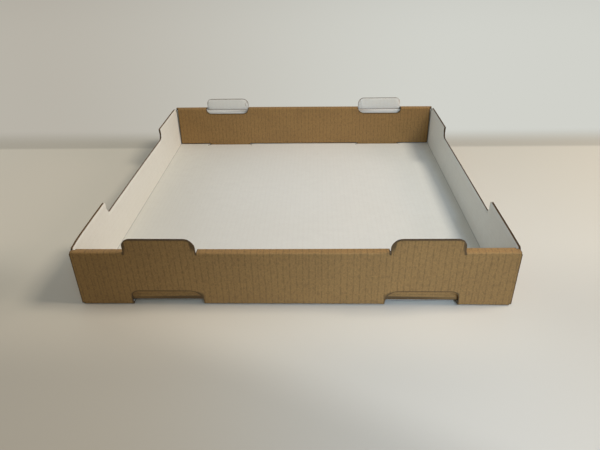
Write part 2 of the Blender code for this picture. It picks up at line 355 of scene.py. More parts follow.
class Blank:
    """Flat blank, in millimetres, whose cells know the panel that carries them."""

    def __init__(self, pitch, per_flute):
        self.flat = bmesh.new()
        self.panels = []
        self.free = []
        self.pitch = pitch
        self.per_flute = per_flute

    def flute_lines(self, low, high):
        """Even lines along the flutes between two places across the blank."""
        step = self.pitch / self.per_flute
        return [n * step for n in range(math.ceil(low / step), math.floor(high / step) + 1)]

    def lay(self, outline, panel, across, along, joined):
        """Divide an outline at its lines, note its free edges and give it a panel."""
        sheet = bmesh.new()
        sheet.faces.new([sheet.verts.new((x, y, 0.0)) for x, y in outline])
        for axis, cuts in ((0, sorted(set(across))), (1, sorted(set(along)))):
            normal = Vector((1.0 - axis, float(axis), 0.0))
            for cut in cuts:
                bmesh.ops.bisect_plane(
                    sheet,
                    geom=sheet.verts[:] + sheet.edges[:] + sheet.faces[:],
                    dist=CUT_SNAP,
                    plane_co=normal * cut,
                    plane_no=normal,
                )
        number = len(self.panels)
        self.panels.append(panel)
        spots = {v: self.flat.verts.new(v.co) for v in sheet.verts}
        for face in sheet.faces:
            self.flat.faces.new([spots[v] for v in face.verts]).material_index = number
        sheet.free()
        for first, second in zip(outline, outline[1:] + outline[:1]):
            if not any(
                max(abs(first[axis] - value), abs(second[axis] - value)) < JOIN_SNAP
                for axis, value in joined
            ):
                self.free.append((first, second))

    def close(self):
        """Join the panels along their folds and read the blank into arrays."""
        bmesh.ops.remove_doubles(self.flat, verts=self.flat.verts[:], dist=WELD_SNAP)
        self.flat.verts.index_update()
        self.spots = np.array([v.co[:2] for v in self.flat.verts])
        self.carrier = [self.panels[v.link_faces[0].material_index] for v in self.flat.verts]
        self.cells = [[v.index for v in face.verts] for face in self.flat.faces]
        self.ends = [wall_end(face.calc_center_median()) for face in self.flat.faces]
        self.flat.free()

    def section(self, ends):
        """Spots, cells and rim of the cells that lie at the given ends of the tray."""
        cells = [cell for cell, end in zip(self.cells, self.ends) if end in ends]
        used = sorted({index for cell in cells for index in cell})
        order = {index: number for number, index in enumerate(used)}
        cells = [[order[index] for index in cell] for cell in cells]
        sides = {}
        for cell in cells:
            for side in zip(cell, cell[1:] + cell[:1]):
                sides.setdefault(tuple(sorted(side)), []).append(side)
        return used, cells, [found[0] for found in sides.values() if len(found) == 1]

    def wave(self):
        """Rise and fall of the flutes at each spot, -1 at the outer liner and 1 at the inner one."""
        return np.cos(self.spots[:, 0] * (2.0 * math.pi / self.pitch))

    def find_edges(self, along_flutes, across_flutes, width, rim):
        """Share of the thickness left at each spot, and how near it is to a cut edge."""
        starts = np.array([edge[0] for edge in self.free])
        spans = np.array([edge[1] for edge in self.free]) - starts
        lengths = np.linalg.norm(spans, axis=1)
        real = lengths > NO_LENGTH
        starts, spans, lengths = starts[real], spans[real], lengths[real]
        middle = starts[:, 0] + spans[:, 0] / 2.0
        hollow = 0.5 - 0.5 * np.cos(middle * 2.0 * math.pi / self.pitch)
        along = along_flutes * (TIP_CRUSH + (1.0 - TIP_CRUSH) * hollow)
        crush = across_flutes + (along - across_flutes) * np.abs(spans[:, 1]) / lengths
        self.left = np.ones(len(self.spots))
        self.edge = np.zeros(len(self.spots))
        for start, span, length, depth in zip(starts, spans, lengths, crush):
            offset = self.spots - start
            share = np.clip(offset @ span / length**2, 0.0, 1.0)
            gap = np.linalg.norm(offset - share[:, None] * span, axis=1)
            self.left = np.minimum(self.left, 1.0 - depth * np.exp(-((gap / width) ** 2)))
            self.edge = np.maximum(self.edge, np.exp(-((gap / rim) ** 2)))


def wall_end(spot):
    """Rolled wall in which a spot of the blank lies: front (-1), back (1) or neither (0)."""
    if abs(spot.y) < BASE_HALF_Y or abs(spot.x) > HALF_WIDTH:
        return 0
    return 1 if spot.y > 0.0 else -1


def beside(edge, way=-1.0):
    """Places of the extra lines before an edge, or after it with way 1."""
    return [edge + way * line for line in RIM_LINES]


def climb(height):
    """Place on the blank, measured from the fold of the base, of a height above the table."""
    return FOLD_LENGTH + height - FOLD_OUTSIDE


def side_lines():
    """Places along a side wall: closer together where its bow sets in, and beside its steps."""
    turns = [math.pi * (n / BOW_STEPS - 0.5) for n in range(BOW_STEPS + 1)]
    bows = [SIDE_HALF * math.sin(turn) for turn in turns]
    lines = [y for y in bows if abs(abs(y) - STEP_PLACE) > STEP_CLEARANCE]
    for hand in (-1.0, 1.0):
        lines += [hand * place for place in beside(STEP_PLACE, 1.0) + beside(SIDE_HALF)]
    lines = [line for line in lines if abs(line) < SIDE_HALF - NEAREST_LINE]
    return lines + [-SIDE_HALF, SIDE_HALF]


def base_panel(x, y, share):
    """Carrier of the base, whose inner face is drawn towards its folds."""
    inner_x = x - math.copysign(drawn(BASE_HALF_X - abs(x)), x)
    inner_y = y - math.copysign(drawn(BASE_HALF_Y - abs(y)), y)
    outside = Vector((x, y, 0.0))
    return outside.lerp(Vector((inner_x, inner_y, BOARD)), share)


def end_panel(way, route, lean=0.0, tuck=0.0):
    """Carrier of the front (way -1) or back (way 1) wall, or of its lugs."""

    def carry(x, y, share):
        place = abs(y) - BASE_HALF_Y
        spot = route.at(place, share)
        push = lean * max(0.0, place - CREST) / (LUG_END - CREST)
        push -= tuck * max(0.0, place - INNER_START) / (INNER_END - INNER_START)
        return Vector((x, way * (spot.x + push), spot.y))

    return carry


def side_spread(tray, way, y, rise):
    """Outward shift of a side wall at a place along it and a rise above its fold."""
    lean = tray.left_lean if way < 0 else tray.right_lean
    bow = tray.left_bow if way < 0 else tray.right_bow
    arch = math.sqrt(max(0.0, 1.0 - (y / SIDE_HALF) ** 2))
    return (lean + bow * arch) * max(0.0, rise) / WALL_HEIGHT / MM


def side_panel(tray, way):
    """Carrier of the left (way -1) or right (way 1) wall."""

    def carry(x, y, share):
        place = abs(x) - BASE_HALF_X
        spot = SIDE.at(place, share)
        spread = side_spread(tray, way, y, place - FOLD_LENGTH)
        inner_y = y - math.copysign(drawn(SIDE_HALF - abs(y)), y)
        return Vector((way * (spot.x + spread), y + (inner_y - y) * share, spot.y))

    return carry


def flap_panel(tray, way, end):
    """Carrier of the corner flap at one end of a side wall."""

    def carry(x, y, share):
        height = abs(x) - BASE_HALF_X - FOLD_LENGTH + FOLD_OUTSIDE
        spot = CORNER.at(abs(y) - SIDE_HALF, share)
        spread = side_spread(tray, way, SIDE_HALF, height - FOLD_OUTSIDE)
        across = way * (HALF_WIDTH + spot.x + spread)
        return Vector((across, end * (SIDE_HALF + spot.y), height))

    return carry


def slot_corners(way, clearance):
    """Right half of the front (way -1) or back (way 1) edge of the base, from its middle out."""
    slot = way * (HALF_DEPTH - ROLL_DEPTH - clearance)
    fold = way * BASE_HALF_Y
    return [
        (FOOT_NEAR, fold, 0.0),
        (FOOT_NEAR, slot, SLOT_RADIUS),
        (FOOT_FAR, slot, SLOT_RADIUS),
        (FOOT_FAR, fold, 0.0),
        (BASE_HALF_X, fold, 0.0),
    ]


def draw_base(blank, columns, lines):
    """Base, with a slot for each lock tab at its front and back folds."""
    front = slot_corners(-1.0, FRONT_SLOT_CLEARANCE)
    back = slot_corners(1.0, BACK_SLOT_CLEARANCE)
    outline = rounded(mirrored(front + back[::-1]))
    rows = lines + beside(BASE_HALF_Y) + [-y for y in beside(BASE_HALF_Y)]
    folds = [(0, BASE_HALF_X), (0, -BASE_HALF_X), (1, BASE_HALF_Y), (1, -BASE_HALF_Y)]
    blank.lay(outline, base_panel, columns, rows, folds)


def outer_layer():
    """Outer layer of an end wall, from the fold of the base to its crest, with two foot openings."""
    return mirrored(
        [
            (FOOT_NEAR, 0.0, 0.0),
            (FOOT_NEAR, climb(FOOT_TOP), FOOT_NEAR_RADIUS),
            (FOOT_FAR, climb(FOOT_TOP), FOOT_FAR_RADIUS),
            (FOOT_FAR, 0.0, 0.0),
            (BASE_HALF_X, 0.0, 0.0),
            (BASE_HALF_X, FOLD_LENGTH, 0.0),
            (HALF_WIDTH, FOLD_LENGTH, 0.0),
            (HALF_WIDTH, CREST, 0.0),
            (HALF_WIDTH - ROLL_INSET, CREST, 0.0),
        ]
    )


def roll_over():
    """Rolled strip with its ears and the lugs' openings, inner layer and lock tabs."""
    inner_half = HALF_WIDTH - BOARD - END_CLEARANCE
    return mirrored(
        [
            (CUT_NEAR, CREST, 0.0),
            (CUT_NEAR, CUT_END, LUG_NEAR_RADIUS),
            (CUT_FAR, CUT_END, LUG_FAR_RADIUS),
            (CUT_FAR, CREST, 0.0),
            (HALF_WIDTH - ROLL_INSET, CREST, 0.0),
            (HALF_WIDTH - ROLL_INSET, EAR_END, EAR_RADIUS),
            (inner_half, EAR_END, 0.0),
            (inner_half, INNER_END, INNER_CORNER_RADIUS),
            (LOCK_FAR, INNER_END, 0.0),
            (LOCK_FAR, LOCK_END, LOCK_RADIUS),
            (LOCK_NEAR, LOCK_END, LOCK_RADIUS),
            (LOCK_NEAR, INNER_END, 0.0),
        ]
    )


def lug(hand):
    """Stacking lug on the left (hand -1) or right (hand 1)."""
    return [
        (hand * LUG_NEAR, CREST, 0.0),
        (hand * LUG_FAR, CREST, 0.0),
        (hand * LUG_FAR, LUG_END, LUG_FAR_RADIUS),
        (hand * LUG_NEAR, LUG_END, LUG_NEAR_RADIUS),
    ]


def draw_end_wall(blank, tray, way, columns):
    """Front (way -1) or back (way 1) wall with its strip, inner layer and lugs."""

    def placed(corners):
        return [(x, way * (BASE_HALF_Y + place)) for x, place in rounded(corners)]

    def lines_at(places):
        return [way * (BASE_HALF_Y + place) for place in places]

    rows = ROLLED.stations() + beside(climb(FOOT_TOP), 1.0) + beside(CUT_END, 1.0)
    rows = lines_at(rows + beside(INNER_END) + beside(LOCK_END))
    wall = end_panel(way, ROLLED, tuck=BACK_TUCK if way > 0.0 else FRONT_TUCK)
    upright = end_panel(way, UPRIGHT, lean=tray.lug_lean / MM)
    base_fold = (1, way * BASE_HALF_Y)
    crest_fold = (1, way * (BASE_HALF_Y + CREST))
    blank.lay(placed(outer_layer()), wall, columns, rows, [base_fold, crest_fold])
    blank.lay(placed(roll_over()), wall, columns, rows, [crest_fold])
    for hand in (-1.0, 1.0):
        blank.lay(placed(lug(hand)), upright, columns, lines_at(beside(LUG_END)), [crest_fold])


def side_wall():
    """Side wall, stepped down between its ends and cut away at its corners, where the ears lie."""
    shoulder = BASE_HALF_Y - STRIP_FLAT + EAR_SHORT - FLAP_CLEARANCE
    return mirrored(
        [
            (STEP_PLACE, climb(SIDE_LOW), STEP_FOOT_RADIUS),
            (STEP_PLACE, climb(WALL_HEIGHT), STEP_TOP_RADIUS),
            (shoulder - (climb(WALL_HEIGHT) - climb(FLAP_TOP)), climb(WALL_HEIGHT), 0.0),
            (shoulder, climb(FLAP_TOP), 0.0),
            (SIDE_HALF, climb(FLAP_TOP), 0.0),
            (SIDE_HALF, climb(FLAP_FOOT), 0.0),
            (SIDE_HALF, 0.0, 0.0),
        ]
    )


def corner_flap():
    """Corner flap, from the fold at the end of a side wall."""
    reach = FOLD_LENGTH + FLAP_LENGTH
    return [
        (0.0, climb(FLAP_FOOT), 0.0),
        (reach, climb(FLAP_FOOT), FLAP_RADIUS),
        (reach, climb(FLAP_TOP), FLAP_RADIUS),
        (0.0, climb(FLAP_TOP), 0.0),
    ]


def draw_side_wall(blank, tray, way, lines):
    """Left (way -1) or right (way 1) wall with a corner flap at each end."""
    heights = SIDE.stations() + beside(climb(WALL_HEIGHT)) + beside(climb(SIDE_LOW))
    columns = [way * (BASE_HALF_X + place) for place in heights]
    bounds = (way * BASE_HALF_X, way * (BASE_HALF_X + climb(WALL_HEIGHT)))
    columns += blank.flute_lines(min(bounds), max(bounds))
    outline = [(way * (BASE_HALF_X + place), y) for y, place in rounded(side_wall())]
    folds = [(0, way * BASE_HALF_X), (1, SIDE_HALF), (1, -SIDE_HALF)]
    blank.lay(outline, side_panel(tray, way), columns, lines, folds)
    places = CORNER.stations() + beside(FOLD_LENGTH + FLAP_LENGTH)
    for end in (-1.0, 1.0):
        rows = [end * (SIDE_HALF + place) for place in places]
        outline = [
            (way * (BASE_HALF_X + place), end * (SIDE_HALF + along))
            for along, place in rounded(corner_flap())
        ]
        blank.lay(outline, flap_panel(tray, way, end), columns, rows, [(1, end * SIDE_HALF)])


def draw_blank(tray, per_flute):
    """The whole blank, panel by panel, with a number of lines to each flute."""
    blank = Blank(tray.flute_pitch / MM, per_flute)
    cuts = [CUT_NEAR, LUG_NEAR, LUG_FAR, CUT_FAR]
    columns = blank.flute_lines(-HALF_WIDTH, HALF_WIDTH) + cuts + [-cut for cut in cuts]
    draw_base(blank, columns, side_lines())
    for way in (-1.0, 1.0):
        draw_end_wall(blank, tray, way, columns)
    for way in (-1.0, 1.0):
        draw_side_wall(blank, tray, way, side_lines())
    blank.close()
    width = tray.crush_width / MM
    blank.find_edges(tray.crush_along, tray.crush_across, width, tray.edge_width / MM)
    return blank


def onset(value, start, full):
    """Share of the way that a value has come from start to full, from 0 to 1."""
    return min(1.0, max(0.0, (value - start) / (full - start)))


def settle(tray, spot):
    """Slight bow, squeeze and lift of the rolled walls, and the change from millimetres to metres."""
    x, y, z = spot
    near = onset(abs(y), BOW_START, BOW_FULL)
    arch = max(0.0, 1.0 - (x / HALF_WIDTH) ** 2)
    rise = onset(z, 0.0, WALL_HEIGHT)
    left = 0.5 - x / TRAY_WIDTH
    if y < 0.0:
        slack = onset(HALF_DEPTH - abs(y), BOARD, STRIP_CREASE) * near * rise * left
        y -= tray.front_bow / MM * arch * near * rise + tray.strip_squeeze / MM * slack
        z += tray.front_lift / MM * arch * near * (1.0 - rise) - tray.strip_drop / MM * slack
    else:
        far = onset(y, LIFT_START, LIFT_FULL)
        above = onset(z, WALL_HEIGHT, LUG_TOP)
        lift = (tray.back_lift + (tray.corner_lift - tray.back_lift) * left) / MM
        y += tray.back_bow / MM * arch * near * rise
        z += lift * far * far * rise * (1.0 - above)
    return Vector((x, y, z)) * MM


def store(mesh, name, kind, key, values):
    """Keep a number or vector for each point of a mesh, for the materials to read."""
    mesh.attributes.new(name, kind, "POINT").data.foreach_set(key, values)


def fold_layer(tray, blank, name, faces, ends=(-1, 0, 1)):
    """One paper of the board, folded, with its two faces given as shares of the thickness."""
    mesh = bpy.data.meshes.new(name)
    used, cells, rim = blank.section(ends)
    spots = blank.spots[used].T
    carriers = [blank.carrier[index] for index in used]
    points = []
    for face in faces:
        shares = (face * blank.left)[used]
        for x, y, share, carry in zip(*spots, shares, carriers):
            points.append(settle(tray, carry(x, y, share)))
    count = len(used)
    polygons = cells + [[index + count for index in reversed(cell)] for cell in cells]
    polygons += [[second, first, first + count, second + count] for first, second in rim]
    mesh.from_pydata(points, [], polygons)
    flat = np.tile(np.column_stack([*spots, np.zeros(count)]), (2, 1)) * MM
    store(mesh, "blank", "FLOAT_VECTOR", "vector", flat.ravel())
    store(mesh, "edge", "FLOAT", "value", np.tile(blank.edge[used], 2))
    store(mesh, "ply", "FLOAT", "value", np.repeat((0.0, 1.0), count))
    solid = bmesh.new()
    solid.from_mesh(mesh)
    bmesh.ops.recalc_face_normals(solid, faces=solid.faces[:])
    solid.to_mesh(mesh)
    solid.free()
    mesh.polygons.foreach_set("use_smooth", [True] * len(mesh.polygons))
    mesh.set_sharp_from_angle(angle=math.radians(SHARP_BEND))
    piece = bpy.data.objects.new(name, mesh)
    bpy.context.scene.collection.objects.link(piece)
    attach(piece, "root")
    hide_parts("tray")
    return piece


class Socket:
    """A shader value that takes part in Python expressions."""

    def __init__(self, shader, socket):
        self.shader = shader
        self.socket = socket

    def _math(self, operation, first, second=0.0):
        """Math node on two sockets or numbers."""
        return self.shader.node("ShaderNodeMath", {"operation": operation}, {0: first, 1: second})

    def __add__(self, other):
        return self._math("ADD", self, other)

    def __sub__(self, other):
        return self._math("SUBTRACT", self, other)

    def __mul__(self, other):
        return self._math("MULTIPLY", self, other)

    def __truediv__(self, other):
        return self._math("DIVIDE", self, other)

    def __pow__(self, other):
        return self._math("POWER", self, other)

    def __radd__(self, other):
        return self._math("ADD", other, self)

    def __rsub__(self, other):
        return self._math("SUBTRACT", other, self)

    def __rmul__(self, other):
        return self._math("MULTIPLY", other, self)

    def sine(self):
        """Sine of an angle in radians."""
        return self._math("SINE", self)

    def size(self):
        """The value without its sign."""
        return self._math("ABSOLUTE", self)

    def most(self, other):
        """The larger of two values."""
        return self._math("MAXIMUM", self, other)

    def span(self, low, high):
        """Smooth step from 0 at low to 1 at high."""
        return self.shader.node(
            "ShaderNodeMapRange",
            {"interpolation_type": "SMOOTHSTEP"},
            {"Value": self, "From Min": low, "From Max": high},
        )

    def within(self, rise, fall):
        """1 between a smooth rise and a smooth fall, each given as its start and its end."""
        return self.span(*rise) * (1.0 - self.span(*fall))


class Shader:
    """Node tree of a material or a world, written with expressions."""

    def __init__(self, owner):
        owner.use_nodes = True
        self.owner = owner
        self.tree = owner.node_tree

    def node(self, kind, settings=None, inputs=None, output=0):
        """Node with its settings and then the values or links of its sockets."""
        made = self.tree.nodes.new(kind)
        for key, value in (settings or {}).items():
            setattr(made, key, value)
        for key, value in (inputs or {}).items():
            self.feed(made.inputs[key], value)
        return Socket(self, made.outputs[output])

    def feed(self, target, value):
        """Link a socket to a target, or set the target to a number or colour."""
        if isinstance(value, Socket):
            self.tree.links.new(value.socket, target)
        else:
            target.default_value = value

    def attribute(self, name, output="Vector"):
        """What a mesh keeps for each of its points."""
        return self.node("ShaderNodeAttribute", {"attribute_name": name}, {}, output)

    def parts(self, vector):
        """The three numbers of a vector."""
        made = self.node("ShaderNodeSeparateXYZ", {}, {0: vector}).socket.node
        return [Socket(self, output) for output in made.outputs]

    def noise(self, vector, scale, detail=2.0, roughness=0.5):
        """Cloudy noise around 0.5."""
        settings = {"Vector": vector, "Scale": scale, "Detail": detail, "Roughness": roughness}
        return self.node("ShaderNodeTexNoise", {}, settings)

    def grain(self, x, y, across, along, seed, detail=3.0, roughness=0.6):
        """Noise with its own number of grains to the metre across and along the flutes."""
        place = self.node("ShaderNodeCombineXYZ", {}, {0: x * across, 1: y * along, 2: seed})
        return self.noise(place, 1.0, detail, roughness)

    def blend(self, share, first, second):
        """Mix of two colours."""
        inputs = {"Factor": share, "A": first, "B": second}
        return self.node("ShaderNodeMix", {"data_type": "RGBA"}, inputs, "Result")

    def backdrop_rays(self):
        """1 for rays that see the backdrop's own pale colour, 0 for those that light the scene."""
        path = self.node("ShaderNodeLightPath").socket.node
        camera, gloss, glass = [Socket(self, path.outputs[ray]) for ray in BACKDROP_RAYS]
        return camera.most(gloss).most(glass)

    def close(self, output, share, first, second):
        """Mix two shaders by a share, as what the closing node shows."""
        mix = self.node("ShaderNodeMixShader", {}, {0: share, 1: first, 2: second})
        self.feed(self.tree.nodes[output].inputs["Surface"], mix)

    def finish(self, colour, roughness, height, depth):
        """Paper with a colour, a roughness and a relief of a depth in metres."""
        surface = self.tree.nodes["Principled BSDF"]
        relief = {"Height": height, "Distance": depth, "Strength": 1.0}
        self.feed(surface.inputs["Base Color"], colour)
        self.feed(surface.inputs["Roughness"], roughness)
        self.feed(surface.inputs["Normal"], self.node("ShaderNodeBump", {}, relief))
        return self.owner


def full(colour, scale=1.0):
    """A colour made lighter or darker, with its alpha."""
    return (colour[0] * scale, colour[1] * scale, colour[2] * scale, 1.0)


def flute_wave(tray, x, drift=0.0):
    """Rise and fall of the flutes, -1 at the outer liner and 1 at the inner one."""
    return (x * (2.0 * math.pi / tray.flute_pitch) + drift + math.pi / 2.0).sine()


def kraft_liner(tray):
    """Brown liner: fibres across the flutes, the flutes' tips showing through, and a dark rim at cut
    edges that is partly the cut paper and partly painted shade.
    """
    s = Shader(bpy.data.materials.new("kraft_liner"))
    x, y, _ = s.parts(s.attribute("blank"))
    wander = s.grain(x, y, across=60.0, along=30.0, seed=0.0, detail=2.0, roughness=0.5) - 0.5
    ridge = 0.5 - 0.5 * flute_wave(tray, x, wander * STREAK_WANDER)
    broad = ridge ** BROAD_POWER
    tip = ridge ** FINE_POWER
    hollow = (1.0 - ridge) ** FINE_POWER
    worn = s.grain(x, y, across=200.0, along=330.0, seed=3.0, roughness=0.65).span(0.4, 0.6)
    line = tip * (STREAK_LEAST + (1.0 - STREAK_LEAST) * worn)
    line = line + hollow * (1.0 - worn) * HOLLOW_STREAK
    fibre = s.grain(x, y, across=420.0, along=1500.0, seed=0.0)
    grain = s.grain(x, y, across=700.0, along=520.0, seed=5.0, roughness=0.65)
    mottle = s.grain(x, y, across=420.0, along=190.0, seed=7.0, roughness=0.65)
    cloud = s.grain(x, y, across=22.0, along=22.0, seed=9.0, roughness=0.55)
    darkest, dark, dim, bright, light = [full(tray.kraft_colour, shade) for shade in KRAFT_SHADES]
    colour = s.blend(cloud.span(0.3, 0.7), dim, bright)
    colour = s.blend(fibre.span(0.42, 0.75) * KRAFT_FIBRE, colour, dark)
    colour = s.blend(grain.span(0.45, 0.75) * tray.grain_depth, colour, light)
    colour = s.blend(mottle.span(0.45, 0.75) * tray.grain_depth, colour, dark)
    colour = s.blend(broad * KRAFT_RIDGE, colour, dark)
    colour = s.blend(line * tray.streak_depth, colour, dark)
    # Dark rim along the cut edges: partly the cut paper's own colour, partly painted shade along those
    # edges
    edge = s.attribute("edge", "Fac").span(0.1, 0.75)
    colour = s.blend(edge * tray.edge_and_shade_depth, colour, darkest)
    height = fibre * 0.5 + grain * 0.6 - tip * 0.8 - broad * 0.5
    return s.finish(colour, 0.78 + grain * 0.12, height, KRAFT_RELIEF)


def white_liner(tray):
    """White-topped liner: a pale coat on brown paper, with faint fibre clouds, painted shade in its
    folds, and brown at its cut edges that is partly painted shade.
    """
    s = Shader(bpy.data.materials.new("white_liner"))
    x, y, _ = s.parts(s.attribute("blank"))
    ridge = 0.5 + 0.5 * flute_wave(tray, x)
    fibre = s.grain(x, y, across=420.0, along=900.0, seed=1.0)
    cloud = s.grain(x, y, across=70.0, along=90.0, seed=2.0, detail=4.0)
    broad = s.grain(x, y, across=7.0, along=7.0, seed=4.0, detail=2.0, roughness=0.5)
    # Painted shade in the folds between the base and the side walls
    fold_middle = (BASE_HALF_X + FOLD_LENGTH / 2.0) * MM
    fold = 1.0 - ((x.size() - fold_middle).size() / tray.crease_shade_width).span(0.3, 1.0)
    white, kraft = tray.white_colour, tray.kraft_colour
    colour = s.blend(cloud.span(0.35, 0.7) * WHITE_CLOUD, full(white), full(white, 0.94))
    colour = s.blend(broad.span(0.35, 0.65) * WHITE_CLOUD, colour, full(white, 0.97))
    colour = s.blend(fibre.span(0.5, 0.8) * WHITE_FIBRE, colour, full(kraft, 1.5))
    colour = s.blend(ridge ** WHITE_POWER * WHITE_RIDGE, colour, full(kraft))
    colour = s.blend(fold * tray.crease_shade_depth, colour, full(white, 0.3))
    # Brown at the cut edges: partly the brown paper under the white coat, partly painted shade
    edge = s.attribute("edge", "Fac").span(0.6, 1.0)
    colour = s.blend(edge * tray.edge_and_shade_depth * WHITE_EDGE, colour, full(kraft, 0.7))
    coat = s.attribute("ply", "Fac").span(0.6, 0.9)
    colour = s.blend(coat, full(kraft, 0.45), colour)
    height = fibre * 0.4 + cloud * 0.3 - ridge * 0.12
    return s.finish(colour, 0.62 + cloud * 0.15, height, WHITE_RELIEF)


def fluting_paper(tray):
    """Raw brown paper of the flutes."""
    s = Shader(bpy.data.materials.new("fluting_paper"))
    x, y, _ = s.parts(s.attribute("blank"))
    fibre = s.grain(x, y, across=500.0, along=1800.0, seed=0.0)
    colour = s.blend(fibre, full(tray.flute_colour, 0.8), full(tray.flute_colour, 1.25))
    return s.finish(colour, FLUTING_ROUGHNESS, fibre, KRAFT_RELIEF)


def floor_paint(stage):
    """Pale floor with painted light and shade: darker in front and on the left, paler close in front
    of the tray, darker along a line behind the tray, and beyond it a glow whose tone is painted light.
    """
    s = Shader(bpy.data.materials.new("floor_paint"))
    place = s.node("ShaderNodeNewGeometry", {}, {}, "Position")
    x, y, _ = s.parts(place)
    front = y * -1.0
    past = y - stage.tone_line
    # Painted light: the floor's tone turns from its left side to its right
    sides = (full(stage.floor_left_lit_colour), full(stage.floor_right_lit_colour))
    colour = s.blend(x.span(*FLOOR_TURN), *sides)
    # Painted shade on the floor in front of the tray
    colour = s.blend(front.span(*FRONT_FADE) * stage.front_shade, colour, BLACK)
    # Painted shadow on the floor in front on the left, with a slanted soft edge
    left = 1.0 - (x - front * LEFT_SLANT).span(*LEFT_EDGE)
    colour = s.blend(front.span(*LEFT_FADE) * left * stage.left_shade, colour, BLACK)
    colour = s.blend(s.noise(place, FLOOR_GRAINS) * FLOOR_CLOUD, colour, WHITE)
    # Painted pool of light on the floor close in front of the tray
    light = front.within(*LIGHT_DEPTH) * x.within(*LIGHT_WIDTH)
    colour = s.blend(light * stage.near_light, colour, LIGHT_COLOUR)
    # Painted shade along the tone line behind the tray, on the floor and on the glow beyond it
    shade_band = past.within(*SHADE_BAND) * stage.tone_shade_depth
    colour = s.blend(shade_band, colour, BLACK)
    surface = s.tree.nodes["Principled BSDF"]
    s.feed(surface.inputs["Base Color"], colour)
    s.feed(surface.inputs["Roughness"], FLOOR_ROUGHNESS)
    # Glow seen by camera rays beyond the tone line: painted light, darker on the left and lighter on
    # the right, with painted shade far away
    sides = (full(stage.far_left_glow_colour), full(stage.far_right_glow_colour))
    far = s.blend((x / (y + FAR_CENTRE)).span(*FAR_TURN), *sides)
    far = s.blend(shade_band + y.span(*HORIZON_FADE) * HORIZON_SHADE, far, BLACK)
    glow = s.node("ShaderNodeEmission", {}, {"Color": far})
    share = s.backdrop_rays() * past.span(*GLOW_RISE)
    s.close("Material Output", share, Socket(s, surface.outputs[0]), glow)
    return s.owner


class TraySizes(bpy.types.PropertyGroup):
    """Sizes, strengths and colours of the tray that a user would change"""

    flute_pitch: bpy.props.FloatProperty(
        name="Flute pitch",
        description="Distance from one flute to the next",
        default=6.3429 * MM,
        unit="LENGTH",
    )
    left_lean: bpy.props.FloatProperty(
        name="Left lean",
        description="Outward lean of the left wall at its ends",
        default=1.1 * MM,
        unit="LENGTH",
    )
    left_bow: bpy.props.FloatProperty(
        name="Left bow",
        description="Further outward bow of the left wall at its middle",
        default=3.8 * MM,
        unit="LENGTH",
    )
    right_lean: bpy.props.FloatProperty(
        name="Right lean",
        description="Outward lean of the right wall at its ends",
        default=0.9 * MM,
        unit="LENGTH",
    )
    right_bow: bpy.props.FloatProperty(
        name="Right bow",
        description="Further outward bow of the right wall at its middle",
        default=1.6 * MM,
        unit="LENGTH",
    )
    front_bow: bpy.props.FloatProperty(
        name="Front bow",
        description="Outward bow of the front wall's crest",
        default=1.2 * MM,
        unit="LENGTH",
    )
    front_lift: bpy.props.FloatProperty(
        name="Front lift",
        description="Height of the middle of the front wall's foot above the table",
        default=0.8 * MM,
        unit="LENGTH",
    )
    strip_squeeze: bpy.props.FloatProperty(
        name="Strip squeeze",
        description="How much narrower the front wall's rolled strip is at its left end",
        default=1.3 * MM,
        unit="LENGTH",
    )
    strip_drop: bpy.props.FloatProperty(
        name="Strip drop",
        description="How much lower the inner crease of that strip is at its left end",
        default=0.9 * MM,
        unit="LENGTH",
    )
    back_bow: bpy.props.FloatProperty(
        name="Back bow",
        description="Outward bow of the back wall's crest",
        default=1.2 * MM,
        unit="LENGTH",
    )
    back_lift: bpy.props.FloatProperty(
        name="Back lift",
        description="Extra height of the back wall's crest at its right end",
        default=0.8 * MM,
        unit="LENGTH",
    )
    corner_lift: bpy.props.FloatProperty(
        name="Corner lift",
        description="Extra height of the back wall's crest at its left end",
        default=2.2 * MM,
        unit="LENGTH",
    )
    lug_lean: bpy.props.FloatProperty(
        name="Lug lean",
        description="Outward lean of a stacking lug at its top",
        default=1.4 * MM,
        unit="LENGTH",
    )
    crush_along: bpy.props.FloatProperty(
        name="Crush along flutes",
        description="Share of the thickness lost at a cut that runs along the flutes",
        default=0.5,
        subtype="FACTOR",
    )
    crush_across: bpy.props.FloatProperty(
        name="Crush across flutes",
        description="Share of the thickness lost at a cut across the flutes",
        default=0.12,
        subtype="FACTOR",
    )
    crush_width: bpy.props.FloatProperty(
        name="Crush width",
        description="Distance from a cut edge over which the board recovers",
        default=1.3 * MM,
        unit="LENGTH",
    )
    streak_depth: bpy.props.FloatProperty(
        name="Streak depth",
        description="Strength of the flute lines that show through the brown liner",
        default=0.8,
        subtype="FACTOR",
    )
    grain_depth: bpy.props.FloatProperty(
        name="Grain depth",
        description="Strength of the light and dark grain of the brown liner",
        default=0.58,
        subtype="FACTOR",
    )
    # Width and strength of the dark rim at cut edges, partly the cut paper and partly painted shade
    edge_width: bpy.props.FloatProperty(
        name="Edge width",
        description="Width of the darker rim along a cut edge",
        default=0.9 * MM,
        unit="LENGTH",
    )
    edge_and_shade_depth: bpy.props.FloatProperty(
        name="Edge depth",
        description="Strength of the darker rim along a cut edge",
        default=0.88,
        subtype="FACTOR",
    )
    # Width and strength of the painted shade in the white liner's folds
    crease_shade_width: bpy.props.FloatProperty(
        name="Crease width",
        description="Distance from the middle of a fold to the end of its grey line",
        default=3.0 * MM,
        unit="LENGTH",
    )
    crease_shade_depth: bpy.props.FloatProperty(
        name="Crease depth",
        description="Strength of the grey line in the folds of the white liner",
        default=0.45,
        subtype="FACTOR",
    )
    kraft_colour: bpy.props.FloatVectorProperty(
        name="Brown liner",
        description="Colour of the outer liner",
        default=(0.272, 0.155, 0.0455),
        subtype="COLOR",
    )
    white_colour: bpy.props.FloatVectorProperty(
        name="White liner",
        description="Colour of the inner liner",
        default=(0.692, 0.698, 0.622),
        subtype="COLOR",
    )
    flute_colour: bpy.props.FloatVectorProperty(
        name="Fluting",
        description="Colour of the fluted paper",
        default=(0.115, 0.070, 0.034),
        subtype="COLOR",
    )


